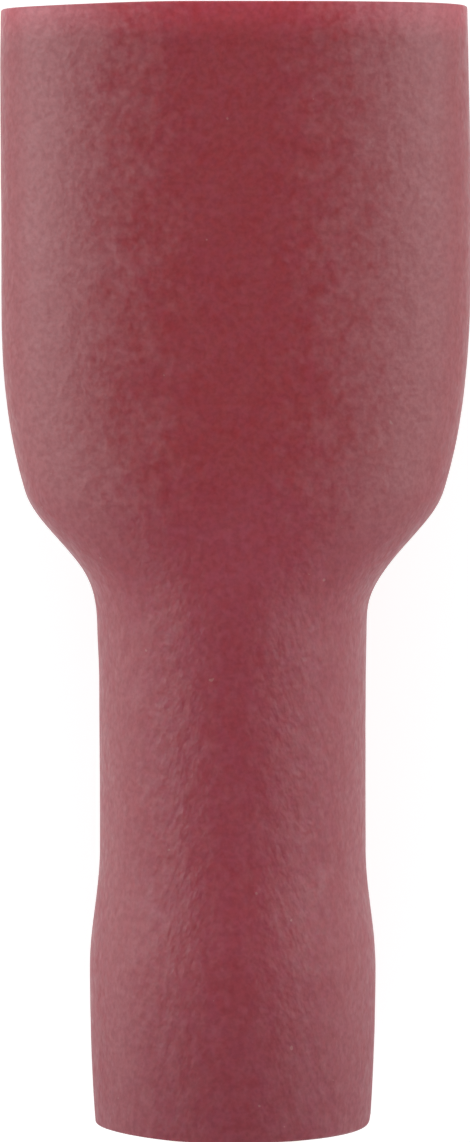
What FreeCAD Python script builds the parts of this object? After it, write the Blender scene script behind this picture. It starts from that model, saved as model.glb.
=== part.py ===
import FreeCAD, Part
import math
import os

from FreeCAD import Vector

# Female spade terminal, fully insulated, for a 6.3 x 0.8 mm flat tab and a thin stranded wire.
# Millimetres, +Z up. The terminal lies on its broad side, with its length along Y and the tab's
# mouth at the +Y end. The origin is under the middle of it, on the surface that it lies on.
# "Depth" is a distance behind the mouth's rim, along the wire axis.

# Mating tab and brass strip
tab_width = 6.3
tab_thickness = 0.8
tab_side_gap = 0.25
strip_thickness = 0.4

# Receptacle box with its two rolled edges
box_recess = 0.4
box_length = 7.4
box_height = 3.0
floor_corner_radius = 0.6
roll_shoulder_radius = 0.9
roll_shoulder_turn = 115
roll_tip_radius = 0.5
roll_tip_turn = 50
roll_gap = 1.8
tab_squeeze = 0.05
lead_in_depth = 0.5
lead_in_rise = 0.14

# Locking bump in the box floor, which drops into the tab's hole
bump_depth = 4.4
bump_radius = 0.75
bump_rise = 0.28

# Neck between the box and the wire barrel
neck_length = 3.2
neck_floor_width = 4.9
neck_waist = 0.35
neck_flat_wrap = 0.08
neck_narrowing = 1.5
neck_curl = 1.1
neck_steps = 7
wrap_arcs = 6

# Wire barrel
barrel_bore = 1.7
barrel_length = 5.8
seam_gap = 0.08
groove_count = 3
groove_width = 0.35
groove_depth = 0.08
barrel_chamfer = 0.15

# Copper ferrule that grips the wire's own insulation
ferrule_wall = 0.3
ferrule_setback = 0.5
ferrule_step_length = 0.9
insulation_bore = 3.3
insulation_grip_length = 3.0
ferrule_edge = 0.08

# Vinyl sleeve
mouth_wall = 0.55
chamber_side_gap = 0.14
chamber_top_gap = 0.25
throat_step = 0.06
mouth_crown_depth = 4.5
rim_draw_in = 0.045
shoulder_draw_in = 0.33
mouth_squareness = 2.8
chamber_corner_radius = 1.3
closing_squareness = 4.0
shoulder_length = 2.9
shoulder_start_gap = 0.95
neck_wall = 1.005
swell_wall = 0.8
tail_wall = 0.69
swell_lead = 0.7
tail_overhang = 0.75
tail_lip = 0.1
tail_flare = 0.3
rim_radius = 0.12
tail_radius = 0.14
ring_points = 32
ring_spacing = 0.5
closing_spacing = 0.75
front_bands = 2
rear_bands = 3
lip_bands = 4

# Sizes that follow from those above
half_strip = strip_thickness / 2
box_half_width = tab_width / 2 + tab_side_gap + strip_thickness
box_end = box_recess + box_length
barrel_start = box_end + neck_length
barrel_end = barrel_start + barrel_length
barrel_inner = barrel_bore / 2
barrel_outer = barrel_inner + strip_thickness
barrel_middle = barrel_inner + half_strip
floor_level = -box_height / 2 + half_strip
floor_top = floor_level + half_strip
flat_half_width = box_half_width - half_strip - floor_corner_radius

ferrule_start = barrel_start + ferrule_setback
ferrule_step_end = barrel_end + ferrule_step_length
ferrule_end = ferrule_step_end + insulation_grip_length
ferrule_front_outer = barrel_outer + ferrule_wall
grip_inner = insulation_bore / 2
grip_outer = grip_inner + ferrule_wall

terminal_length = ferrule_end + tail_overhang
chamber_half_width = box_half_width + chamber_side_gap
chamber_half_height = box_height / 2 + chamber_top_gap
mouth_half_width = chamber_half_width + mouth_wall
mouth_half_height = chamber_half_height + mouth_wall
neck_radius = ferrule_front_outer + neck_wall
swell_radius = grip_outer + swell_wall
tail_end_radius = grip_outer + tail_wall
shoulder_start = box_end + shoulder_start_gap
shoulder_end = shoulder_start + shoulder_length
swell_peak = ferrule_step_end + swell_lead
axis_height = swell_radius


def at(depth):
    """Y of a plane this far behind the mouth's rim."""
    return terminal_length / 2 - depth


def ease(share):
    """Runs smoothly from 0 to 1 as share goes from 0 to 1."""
    share = min(max(share, 0.0), 1.0)
    return 0.5 - 0.5 * math.cos(math.pi * share)


def between(low, high, share):
    return low + (high - low) * share


def place(shape):
    """Lifts a shape modelled round the wire axis to its height above the surface."""
    shape.translate(Vector(0, 0, axis_height))
    return shape


# Round shapes about the wire axis

def turned(profile):
    """Solid of revolution about the wire axis, from (depth, radius) corners."""
    corners = [Vector(radius, at(depth), 0) for depth, radius in profile]
    face = Part.Face(Part.makePolygon(corners + corners[:1]))
    return face.revolve(Vector(0, 0, 0), Vector(0, 1, 0), 360)


# Sleeve: rings across the axis for the flat mouth and the shoulder, and a turned barrel

def ring(depth, half_width, half_height, squareness):
    """Closed curve across the axis: a circle at squareness 2, and boxier above that."""
    if squareness == 2.0:
        return Part.Wire(Part.Circle(Vector(0, at(depth), 0), Vector(0, 1, 0), half_width).toShape())
    points = []
    for k in range(ring_points):
        turn = 2 * math.pi * k / ring_points
        across = math.sin(turn)
        upward = math.cos(turn)
        reach = (abs(across) ** squareness + abs(upward) ** squareness) ** (-1 / squareness)
        points.append(Vector(half_width * across * reach, at(depth), half_height * upward * reach))
    shares = [k / ring_points for k in range(ring_points + 1)]
    curve = Part.BSplineCurve()
    curve.interpolate(Points=points, PeriodicFlag=True, Parameters=shares)
    return Part.Wire(curve.toShape())


def banded(start, end, bands):
    """Depths from start to end that part it into this many bands."""
    return [between(start, end, k / bands) for k in range(bands + 1)]


def evenly(start, end, spacing):
    """Depths from start to end, about this far apart."""
    return banded(start, end, max(round((end - start) / spacing), 4))


def ringed(size_at, depths, straight):
    """Solid through rings at these depths, straight from each to the next or smooth all along."""
    return Part.makeLoft([ring(d, *size_at(d)) for d in depths], True, straight)


def rim_inset(depth):
    """How far the rounded lip has drawn back from the wall's face, this far behind the rim."""
    rest = rim_radius - min(max(depth, 0.0), rim_radius)
    return rim_radius - math.sqrt(rim_radius * rim_radius - rest * rest)


def mouth_side(depth):
    """Half width of the mouth, which is widest at its crown and draws in to both ends."""
    if depth < mouth_crown_depth:
        run = (mouth_crown_depth - depth) / mouth_crown_depth
        return mouth_half_width - rim_draw_in * run * run
    run = (min(depth, shoulder_start) - mouth_crown_depth) / (shoulder_start - mouth_crown_depth)
    return mouth_half_width - shoulder_draw_in * run * run


def outside_size(depth):
    """Half width, half height and squareness of the sleeve's outside, from the mouth to the neck."""
    share = ease((depth - shoulder_start) / shoulder_length)
    inset = rim_inset(depth)
    return (
        between(mouth_side(depth), neck_radius, share) - inset,
        between(mouth_half_height, neck_radius, share) - inset,
        between(mouth_squareness, 2.0, share),
    )


def closing_size(depth):
    """The same for the hollow behind the receptacle, which closes in on the ferrule."""
    share = ease((depth - box_end) / (ferrule_start - box_end))
    throat_radius = ferrule_front_outer + throat_step
    return (
        between(chamber_half_width - throat_step, throat_radius, share),
        between(chamber_half_height - throat_step, throat_radius, share),
        between(closing_squareness, 2.0, share),
    )


def level_arc(level, other):
    """Arc that leaves one (radius, depth) corner along the axis and ends at another."""
    run = at(other[1]) - at(level[1])
    rise = other[0] - level[0]
    bend = (run * run + rise * rise) / (2 * rise)
    half_turn = math.atan2(run / bend, 1 - rise / bend) / 2
    middle = Vector(level[0] + bend * (1 - math.cos(half_turn)), at(level[1]) + bend * math.sin(half_turn), 0)
    return Part.Arc(Vector(level[0], at(level[1]), 0), middle, Vector(other[0], at(other[1]), 0)).toShape()


def barrel_outside():
    """The round rear of the sleeve, which swells where it passes over the wide end of the ferrule."""
    foot = (neck_radius, barrel_end - swell_lead)
    crest = (swell_radius, swell_peak)
    turn_over = ((foot[0] + crest[0]) / 2, (foot[1] + crest[1]) / 2)
    tail = (tail_end_radius, terminal_length - tail_radius)
    corners = [foot, (neck_radius, shoulder_end), (0, shoulder_end), (0, terminal_length)]
    for k in range(lip_bands + 1):
        turn = math.pi / 2 * (1 - k / lip_bands)
        corners.append((tail[0] - tail_radius * (1 - math.cos(turn)), tail[1] + tail_radius * math.sin(turn)))
    edges = Part.makePolygon([Vector(radius, at(depth), 0) for radius, depth in corners]).Edges
    edges += [level_arc(foot, turn_over), level_arc(crest, turn_over), level_arc(crest, tail)]
    face = Part.Face(Part.Wire(Part.__sortEdges__(edges)))
    return face.revolve(Vector(0, 0, 0), Vector(0, 1, 0), 360)


def chamber():
    """The flat hollow that holds the receptacle's box, rounded along its corners."""
    corner = Vector(-chamber_half_width, at(box_end), -chamber_half_height)
    block = Part.makeBox(2 * chamber_half_width, box_end + rim_radius, 2 * chamber_half_height, corner)
    long_edges = [e for e in block.Edges if e.BoundBox.YLength > box_end]
    return block.makeFillet(chamber_corner_radius, long_edges)


def chamber_rim(sleeve):
    """The chamber's edges in the plane of the rim: all there but the outside's, the longest."""
    flush = 0.001
    rim = [e for e in sleeve.Edges if abs(e.BoundBox.YMin - at(0.0)) < flush
           and abs(e.BoundBox.YMax - at(0.0)) < flush]
    return sorted(rim, key=lambda edge: edge.Length)[:-1]


def insulating_sleeve():
    lip = banded(0.0, rim_radius, lip_bands)
    front = banded(rim_radius, mouth_crown_depth, front_bands)
    rear = banded(mouth_crown_depth, shoulder_start, rear_bands)
    mouth = ringed(outside_size, lip + front[1:] + rear[1:], True)
    shoulder = ringed(outside_size, evenly(shoulder_start, shoulder_end, ring_spacing), False)
    sleeve = mouth.fuse([shoulder, barrel_outside()])
    sleeve = sleeve.cut(chamber())
    sleeve = sleeve.makeFillet(rim_radius, chamber_rim(sleeve))
    closing = evenly(box_end - throat_step, ferrule_start, closing_spacing)
    sleeve = sleeve.cut(ringed(closing_size, closing, True))
    grip_bore = turned((
        (ferrule_start - throat_step, 0),
        (ferrule_start - throat_step, ferrule_front_outer),
        (barrel_end, ferrule_front_outer),
        (ferrule_step_end, grip_outer),
        (ferrule_end, grip_outer),
        (ferrule_end, grip_outer - tail_lip),
        (terminal_length - tail_flare, grip_outer - tail_lip),
        (terminal_length, grip_outer + tail_lip),
        (terminal_length + rim_radius, grip_outer + tail_lip),
        (terminal_length + rim_radius, 0),
    ))
    return place(sleeve.cut(grip_bore))


# Brass strip, bent up

class StripPath:
    """Middle line of a bent strip across the axis, walked as straight runs and arcs."""

    def __init__(self, x, z, heading):
        self.x = x
        self.z = z
        self.heading = heading
        self.left = []
        self.right = []

    def point(self, side=0.0):
        """The point here, stepped sideways to the left of the way that the path goes."""
        aside = math.radians(self.heading + 90)
        return Vector(self.x + side * math.cos(aside), 0, self.z + side * math.sin(aside))

    def run(self, length):
        before = [self.point(half_strip), self.point(-half_strip)]
        ahead = math.radians(self.heading)
        self.x += length * math.cos(ahead)
        self.z += length * math.sin(ahead)
        self.left.append(Part.makeLine(before[0], self.point(half_strip)))
        self.right.append(Part.makeLine(before[1], self.point(-half_strip)))

    def half_bend(self, radius, turn):
        aside = math.radians(self.heading + 90)
        centre_x = self.x + radius * math.cos(aside)
        centre_z = self.z + radius * math.sin(aside)
        self.heading += turn
        aside = math.radians(self.heading + 90)
        self.x = centre_x - radius * math.cos(aside)
        self.z = centre_z - radius * math.sin(aside)
        return [self.point(half_strip), self.point(-half_strip)]

    def bend(self, radius, turn):
        before = [self.point(half_strip), self.point(-half_strip)]
        middle = self.half_bend(radius, turn / 2)
        after = self.half_bend(radius, turn / 2)
        self.left.append(Part.Arc(before[0], middle[0], after[0]).toShape())
        self.right.append(Part.Arc(before[1], middle[1], after[1]).toShape())

    def face(self):
        caps = [Part.makeLine(self.left[0].Vertexes[0].Point, self.right[0].Vertexes[0].Point),
                Part.makeLine(self.left[-1].Vertexes[-1].Point, self.right[-1].Vertexes[-1].Point)]
        edges = Part.__sortEdges__(self.left + self.right + caps)
        return Part.Face(Part.Wire(edges))


def roll_start():
    """The path at the top of the right-hand wall, where the roll over the tab begins."""
    return StripPath(box_half_width - half_strip, box_height / 2 - half_strip - roll_shoulder_radius, 90)


def roll_lengths():
    """Lengths of a roll's top and tip that put its edge on the tab, at the gap between rolls."""
    path = roll_start()
    path.bend(roll_shoulder_radius, roll_shoulder_turn)
    top_way = math.radians(path.heading)
    path.bend(roll_tip_radius, roll_tip_turn)
    tip_way = math.radians(path.heading)
    missing_x = roll_gap / 2 + half_strip - path.x
    missing_z = floor_top + tab_thickness - tab_squeeze + half_strip * abs(math.cos(tip_way)) - path.z
    spread = math.sin(tip_way - top_way)
    top = (missing_x * math.sin(tip_way) - missing_z * math.cos(tip_way)) / spread
    tip = (missing_z * math.cos(top_way) - missing_x * math.sin(top_way)) / spread
    return top, tip


def box_profile():
    """Section of the box: a flat floor, two side walls, and a roll over each edge of the tab."""
    top, tip = roll_lengths()
    wall = box_height - strip_thickness - floor_corner_radius - roll_shoulder_radius
    right_tip = roll_start()
    right_tip.bend(roll_shoulder_radius, roll_shoulder_turn)
    right_tip.run(top)
    right_tip.bend(roll_tip_radius, roll_tip_turn)
    right_tip.run(tip)
    path = StripPath(-right_tip.x, right_tip.z, 360 - right_tip.heading)
    path.run(tip)
    path.bend(roll_tip_radius, roll_tip_turn)
    path.run(top)
    path.bend(roll_shoulder_radius, roll_shoulder_turn)
    path.run(wall)
    path.bend(floor_corner_radius, 90)
    path.run(2 * flat_half_width)
    path.bend(floor_corner_radius, 90)
    path.run(wall)
    path.bend(roll_shoulder_radius, roll_shoulder_turn)
    path.run(top)
    path.bend(roll_tip_radius, roll_tip_turn)
    path.run(tip)
    return path.face()


def rectangle(depth, half_width, low, high):
    corners = [Vector(-half_width, at(depth), low), Vector(half_width, at(depth), low),
               Vector(half_width, at(depth), high), Vector(-half_width, at(depth), high)]
    return Part.makePolygon(corners + corners[:1])


def lead_in():
    """The flared way in for the tab, which bevels the floor and the rolls' edges."""
    tab_top = floor_top + tab_thickness - tab_squeeze
    inner = rectangle(box_recess + lead_in_depth, flat_half_width, floor_top, tab_top)
    outer = rectangle(box_recess, flat_half_width, floor_top - lead_in_rise, tab_top + lead_in_rise)
    return Part.makeLoft([inner, outer], True, True)


def receptacle_box():
    box = box_profile()
    box.translate(Vector(0, at(box_end), 0))
    box = box.extrude(Vector(0, box_length, 0))
    sphere_radius = (bump_radius ** 2 + bump_rise ** 2) / (2 * bump_rise)
    centre = Vector(0, at(bump_depth), floor_top + bump_rise - sphere_radius)
    bump = Part.makeSphere(sphere_radius, centre)
    above = Part.makeBox(4 * bump_radius, 4 * bump_radius, 2 * bump_rise,
                         Vector(-2 * bump_radius, at(bump_depth) - 2 * bump_radius, floor_level))
    hollow = Part.makeSphere(sphere_radius - strip_thickness, centre)
    box = box.fuse(bump.common(above)).cut(hollow)
    return box.cut(lead_in())


def strip_arc(depth, half_length, half_wrap, lowest):
    """Section of the strip bent into a trough that wraps this far up each side."""
    radius = half_length / half_wrap

    def point(offset, share):
        turn = between(-half_wrap, half_wrap, share)
        r = radius + offset
        return Vector(r * math.sin(turn), at(depth), lowest + radius - r * math.cos(turn))

    def arcs(offset, shares):
        return [Part.Arc(point(offset, a), point(offset, (a + b) / 2), point(offset, b)).toShape()
                for a, b in zip(shares, shares[1:])]

    shares = [k / wrap_arcs for k in range(wrap_arcs + 1)]
    edges = arcs(half_strip, shares)
    edges.append(Part.makeLine(point(half_strip, 1.0), point(-half_strip, 1.0)))
    edges += arcs(-half_strip, shares[::-1])
    edges.append(Part.makeLine(point(-half_strip, 0.0), point(half_strip, 0.0)))
    return Part.Wire(edges)


full_wrap = math.pi - seam_gap / (2 * barrel_inner)


def neck():
    """The strip between the box floor and the barrel, which rolls up as it goes back."""
    sections = []
    for k in range(neck_steps + 1):
        share = k / neck_steps
        waist = neck_waist * math.sin(math.pi * share)
        narrowing = share ** neck_narrowing
        half_length = between(neck_floor_width / 2, barrel_middle * full_wrap, narrowing) - waist
        wrap = between(neck_flat_wrap, full_wrap, ease(share ** neck_curl))
        lowest = between(floor_level, -barrel_middle, ease(share))
        depth = between(box_end, barrel_start, share)
        sections.append(strip_arc(depth, half_length, wrap, lowest))
    return Part.makeLoft(sections, True, False)


def wire_barrel():
    section = Part.Face(strip_arc(barrel_end, barrel_middle * full_wrap, full_wrap, -barrel_middle))
    barrel = section.extrude(Vector(0, barrel_length, 0))
    for k in range(groove_count):
        depth = between(barrel_start, barrel_end, (k + 1) / (groove_count + 1))
        groove = turned((
            (depth - groove_width / 2, 0),
            (depth - groove_width / 2, barrel_inner),
            (depth, barrel_inner + groove_depth),
            (depth + groove_width / 2, barrel_inner),
            (depth + groove_width / 2, 0),
        ))
        barrel = barrel.cut(groove)
    bell = turned((
        (barrel_end - barrel_chamfer, 0),
        (barrel_end - barrel_chamfer, barrel_inner),
        (barrel_end, barrel_inner + barrel_chamfer),
        (barrel_end, 0),
    ))
    return barrel.cut(bell)


def spade_receptacle():
    receptacle = receptacle_box().fuse([neck(), wire_barrel()]).removeSplitter()
    return place(receptacle)


# Ferrule

def insulation_ferrule():
    tube = turned((
        (ferrule_start, barrel_outer),
        (ferrule_start, ferrule_front_outer - ferrule_edge),
        (ferrule_start + ferrule_edge, ferrule_front_outer),
        (barrel_end, ferrule_front_outer),
        (ferrule_step_end, grip_outer),
        (ferrule_end - ferrule_edge, grip_outer),
        (ferrule_end, grip_outer - ferrule_edge),
        (ferrule_end, grip_inner + ferrule_edge),
        (ferrule_end - ferrule_edge, grip_inner),
        (ferrule_step_end, grip_inner),
        (barrel_end, barrel_outer),
    ))
    return place(tube)


pieces = {
    "insulating_sleeve": insulating_sleeve(),
    "spade_receptacle": spade_receptacle(),
    "insulation_ferrule": insulation_ferrule(),
}

os.makedirs("parts", exist_ok=True)
for name, shape in pieces.items():
    shape.exportStep(os.path.join("parts", name + ".step"))
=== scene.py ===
import math
from types import SimpleNamespace

import bpy
from bpy.props import FloatProperty, FloatVectorProperty, IntProperty, PointerProperty
from bpy.types import Operator, Panel, PropertyGroup
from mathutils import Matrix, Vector, noise


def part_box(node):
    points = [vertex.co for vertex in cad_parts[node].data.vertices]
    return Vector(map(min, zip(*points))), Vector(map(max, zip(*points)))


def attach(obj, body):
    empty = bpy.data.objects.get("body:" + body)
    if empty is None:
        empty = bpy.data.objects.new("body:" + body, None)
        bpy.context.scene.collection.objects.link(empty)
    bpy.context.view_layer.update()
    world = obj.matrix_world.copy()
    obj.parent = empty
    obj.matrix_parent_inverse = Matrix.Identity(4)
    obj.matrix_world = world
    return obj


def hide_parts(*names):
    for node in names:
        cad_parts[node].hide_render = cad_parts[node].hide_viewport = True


bl_info = {
    "name": "Insulated spade terminal",
    "version": (1, 0, 0),
    "blender": (4, 5, 0),
    "location": "View3D > Sidebar > Terminal",
    "description": "Vinyl sleeve, rolled brass receptacle and copper ferrule of a crimp terminal",
    "category": "Object",
}

MM = 0.001

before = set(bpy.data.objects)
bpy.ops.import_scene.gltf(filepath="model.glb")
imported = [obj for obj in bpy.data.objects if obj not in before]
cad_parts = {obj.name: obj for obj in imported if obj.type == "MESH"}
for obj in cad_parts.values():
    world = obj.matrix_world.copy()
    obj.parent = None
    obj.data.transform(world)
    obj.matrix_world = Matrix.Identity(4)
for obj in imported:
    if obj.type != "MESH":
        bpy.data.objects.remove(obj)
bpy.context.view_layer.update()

sleeve_low, sleeve_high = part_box("insulating_sleeve")
receptacle_low, receptacle_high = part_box("spade_receptacle")
ferrule_low, ferrule_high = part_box("insulation_ferrule")

# The mouth's rim lies across Y here, and the wire axis runs along Y at this height. "Depth" is a
# distance behind the rim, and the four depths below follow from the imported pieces.
RIM_Y = sleeve_high.y
AXIS_Z = (ferrule_low.z + ferrule_high.z) / 2
LENGTH = sleeve_high.y - sleeve_low.y
BOX_FRONT = RIM_Y - receptacle_high.y
BARREL_END = RIM_Y - receptacle_low.y
FERRULE_START = RIM_Y - ferrule_high.y
FERRULE_END = RIM_Y - ferrule_low.y


def length(name, description, default):
    """A length setting, given in millimetres and kept in metres."""
    return FloatProperty(name=name, description=description, default=default * MM,
                         unit="LENGTH", precision=5)


def angle(name, description, default):
    """An angle setting, given in degrees and kept in radians."""
    return FloatProperty(name=name, description=description, default=math.radians(default),
                         subtype="ANGLE")


def factor(name, description, default):
    return FloatProperty(name=name, description=description, default=default)


def colour(name, description, default):
    return FloatVectorProperty(name=name, description=description, default=default,
                               subtype="COLOR", size=3, min=0.0, max=1.0)


# Settings

class SleeveSettings(PropertyGroup):
    mouth_wall: length("Mouth wall", "Thickness of the vinyl round the tab's mouth", 0.55)
    rim_radius: length("Rim radius", "Rounding of the rim towards the chamber", 0.12)
    rim_edge: length("Rim edge", "Rounding of the rim's outer edge", 0.045)
    chamber_gap: length("Chamber gap", "Room beside the receptacle in the mouth", 0.14)
    chamber_top_gap: length("Chamber top gap", "Room above the receptacle in the mouth", 0.25)
    chamber_corner: length("Chamber corner", "Rounding along the chamber's corners", 1.3)
    crown_depth: length("Crown depth", "Where the mouth is widest", 4.5)
    rim_draw_in: length("Rim draw-in", "How far the sides draw in at the rim", 0.045)
    shoulder_draw_in: length("Shoulder draw-in", "How far the sides draw in at the shoulder", 0.486)
    mouth_squareness: factor("Mouth squareness", "2 is an ellipse, more is boxier", 2.8)
    shoulder_start: length("Shoulder start", "Depth at which the shoulder begins", 9.24)
    shoulder_length: length("Shoulder length", "Run from the flat mouth to the round neck", 2.64)
    neck_radius: length("Neck radius", "Outside radius of the round neck", 2.555)
    neck_taper: length("Neck taper", "How much thicker the neck is where the shoulder ends", 0.031)
    taper_run: length("Taper run", "Run over which the neck loses that thickness", 1.3)
    swell_lead: length("Swell lead", "How far the swell reaches past the ferrule's step", 0.7)
    tail_radius: length("Tail radius", "Outside radius at the wire's end", 2.64)
    tail_edge: length("Tail edge", "Rounding of the tail's outer edge at its sharpest", 0.03)
    tail_round: length("Tail rounding", "Rounding of the tail's outer edge at its fullest", 0.13)
    throat_step: length("Throat step", "Ledge behind the receptacle's box", 0.06)
    throat_squareness: factor("Throat squareness", "Of the hollow just behind that ledge", 4.0)
    tail_lip: length("Tail lip", "How far the lip behind the ferrule closes in", 0.1)
    tail_flare: length("Tail flare", "Depth of the flared way in for the wire", 0.3)
    mould_drift: length("Mould drift", "Sideways wander of the moulding along its length", 0.033)
    trim_fall: length("Trim fall", "How far the rim falls away at its left corner", 0.07)
    tail_fall: length("Tail fall", "How far the tail is cut short at the same side", 0.06)
    peel_height: length("Peel height", "Height of the soft unevenness of the vinyl", 0.006)
    points_round: IntProperty(name="Points round", description="Mesh points round the sleeve",
                              default=240, min=48, max=400)
    ring_spacing: length("Ring spacing", "Distance between the mesh rings outside", 0.09)


class ReceptacleSettings(PropertyGroup):
    strip: length("Strip", "Thickness of the brass strip", 0.4)
    edge: length("Edge break", "Bevel left on the cut edges of the strip", 0.04)
    box_length: length("Box length", "Length of the box that takes the tab", 7.4)
    floor_corner: length("Floor corner", "Middle radius of the bend beside the floor", 0.6)
    roll_shoulder: length("Roll shoulder", "Middle radius of the roll's upper bend", 0.9)
    roll_shoulder_turn: angle("Shoulder turn", "Turn of the upper bend", 115)
    roll_tip: length("Roll tip", "Middle radius of the bend next to the tab", 0.5)
    roll_tip_turn: angle("Tip turn", "Turn of the bend next to the tab", 50)
    roll_gap: length("Roll gap", "Gap between the two rolls", 1.8)
    tab: length("Tab", "Thickness of the tab that the rolls grip", 0.8)
    squeeze: length("Squeeze", "How much closer than the tab the rolls stand", 0.05)
    lead_in: length("Lead-in", "Depth of the flared way in", 0.5)
    lead_in_rise: length("Lead-in rise", "How far the way in flares", 0.14)
    bump_depth: length("Bump depth", "Depth of the locking bump", 4.4)
    bump_radius: length("Bump radius", "Radius of the pressed bump with its soft foot", 0.95)
    bump_rise: length("Bump rise", "Height of the locking bump", 0.28)
    neck_length: length("Neck length", "Run of strip between the box and the barrel", 3.2)
    neck_floor: length("Neck floor", "Width of the neck where it leaves the box", 4.9)
    neck_waist: length("Neck waist", "How far the neck draws in along its run", 0.35)
    barrel_bore: length("Barrel bore", "Bore of the wire barrel", 1.7)
    barrel_chamfer: length("Barrel chamfer", "Chamfer of the bore at the wire's end", 0.15)
    seam_gap: length("Seam gap", "Gap along the butted seam of the barrel", 0.08)
    groove_depth: length("Groove depth", "Depth of the serrations in the barrel", 0.08)
    groove_width: length("Groove width", "Width of the serrations in the barrel", 0.35)
    grooves: IntProperty(name="Grooves", description="Serrations in the barrel", default=3, min=0)


class FerruleSettings(PropertyGroup):
    wall: length("Wall", "Wall of the copper tube", 0.3)
    step_length: length("Step length", "Run of the cone between the two diameters", 0.9)
    edge: length("Edge break", "Bevel at the tube's front and rounding at its rear", 0.08)


class FinishSettings(PropertyGroup):
    vinyl: colour("Vinyl", "Red of the vinyl", (0.278, 0.035, 0.044))
    # Painted highlight: this pale colour is painted where the side lamps' sheen falls, and the
    # neck's drawn strokes use it too
    vinyl_painted_sheen_and_strokes: colour("Painted sheen vinyl", "Vinyl painted pale for the lamps' sheen and in drawn strokes",
                       (0.340, 0.110, 0.123))
    vinyl_deep: colour("Vinyl deep", "Deeper red in the patches", (0.292, 0.019, 0.028))
    vinyl_plum: colour("Vinyl plum", "Cooler red in cloudy patches", (0.282, 0.042, 0.069))
    vinyl_speck: colour("Vinyl speck", "Grit that shows in the vinyl", (0.50, 0.36, 0.30))
    peel_relief: length("Peel relief", "Height of the shaded peel of the vinyl", 0.030)
    streak_relief: length("Stroke relief", "Height of the drawn strokes on the neck", 0.027)
    grain_relief: length("Grain relief", "Height of the vinyl's fine grain", 0.007)
    tin: colour("Tin", "Bright tin plating", (0.64, 0.63, 0.60))
    tin_dull: colour("Dull tin", "Tin dulled in the hollows", (0.44, 0.425, 0.39))
    brass: colour("Brass", "Brass that shows through at the rubbed spots", (0.70, 0.52, 0.26))
    copper: colour("Copper", "Clean copper", (0.86, 0.44, 0.29))
    copper_dull: colour("Dull copper", "Copper browned by handling", (0.48, 0.20, 0.12))
    line_relief: length("Line relief", "Height of the drawing lines on the metal", 0.0035)
    pit_relief: length("Pit relief", "Height of the fine pitting of the metal", 0.003)


class StageSettings(PropertyGroup):
    camera_height: length("Camera height", "Camera above the terminal's mid-plane", 112.0)
    camera_lean: length("Camera lean", "Camera's offset towards the mouth", 5.2)
    camera_aim: length("Camera aim", "Point of the length that the camera looks at", -0.058)
    field: length("Field", "Length seen from top to bottom of the picture", 21.9)
    lamp_left: factor("Left lamp", "Brightness of the left soft lamp", 2.5)
    lamp_right: factor("Right lamp", "Brightness of the right soft lamp", 2.15)
    lamp_turn: angle("Lamp turn", "How far down each lamp stands, from overhead", 72)
    lamp_distance: length("Lamp distance", "From the terminal to each lamp", 260.0)
    lamp_forward: length("Lamp forward", "Lamps' offset towards the mouth", 60.0)
    lamp_width: length("Lamp width", "Width of each lamp", 160.0)
    lamp_length: length("Lamp length", "Length of each lamp", 340.0)
    sky: factor("Sky", "Brightness of the surroundings as they light the terminal", 1.0)
    paper: colour("Paper", "Floor as the lamps light it", (0.60, 0.60, 0.60))
    paper_glow: factor("Paper glow", "What the background adds to the floor that is seen", 0.70)
    floor_reach: length("Floor reach", "From the terminal to each edge of the floor", 600.0)


# Meshes and objects

def ease(share):
    share = min(max(share, 0.0), 1.0)
    return 0.5 - 0.5 * math.cos(math.pi * share)


def between(low, high, share):
    return low + (high - low) * share


def evenly(start, end, spacing):
    count = max(math.ceil(abs(end - start) / spacing - 1e-6), 1)
    return [between(start, end, k / count) for k in range(count + 1)]


def quarter_round(steps):
    """(run, inset) pairs down a quarter round of radius 1, from its edge to the wall it meets."""
    turns = [math.pi / 2 * k / steps for k in range(steps + 1)]
    return [(1 - math.cos(t), 1 - math.sin(t)) for t in turns]


def placed(name, data):
    """A new object of the scene, which shows this mesh, lamp or camera."""
    item = bpy.data.objects.new(name, data)
    bpy.context.scene.collection.objects.link(item)
    return item


def add_piece(name, skin, material, node, sharp=40):
    """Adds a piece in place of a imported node, smooth but for the edges sharper than this."""
    points, faces = skin
    mesh = bpy.data.meshes.new(name)
    mesh.from_pydata(points, [], faces)
    mesh.validate()
    mesh.polygons.foreach_set("use_smooth", [True] * len(mesh.polygons))
    mesh.set_sharp_from_angle(angle=math.radians(sharp))
    mesh.materials.append(material)
    piece = placed(name, mesh)
    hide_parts(node)
    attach(piece, "root")


def closed_skin(rings):
    """Points and faces over rings with the same number of points, the last joined to the first."""
    count = len(rings[0])
    points = [p for ring in rings for p in ring]
    faces = []
    for a in range(len(rings)):
        b = (a + 1) % len(rings)
        for k in range(count):
            n = (k + 1) % count
            faces.append((a * count + k, b * count + k, b * count + n, a * count + n))
    return points, faces


# Sleeve

# The mouth's sides draw in by this power of the run behind the crown, up to this many runs
SIDE_POWER = 3
SIDE_RUNS = 1.6
# Share of the neck's taper that is already run through where the shoulder ends
TAPER_LEAD = 0.2
# The moulding wanders sideways: depth in millimetres, and share of the mould drift there
DRIFT = ((0.0, -0.5), (4.5, 0.8), (8.0, -0.3), (10.6, -0.4), (11.5, -1.9), (12.9, -1.5),
         (16.0, -1.3), (21.5, -1.4))
# The rim and the tail are cut askew. The fall sets in left of the axis, grows over the spread and
# fades along the sleeve, in millimetres.
RIM_CUT = SimpleNamespace(start=0.8, spread=3.6, fade=1.6)
TAIL_CUT = SimpleNamespace(start=0.4, spread=2.4, fade=1.0)
# Waves of the peel: repeats in a millimetre, share of its height, and place in the noise
PEEL_WAVES = ((0.55, 1.0, (3.1, 7.7, 1.9)), (1.9, 0.45, (11.3, 0.4, 5.2)))
RIM_STEPS = 5
EDGE_STEPS = 6
THROAT_SPACING = 0.12 * MM
CHAMBER_SPACING = 0.5 * MM


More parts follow.
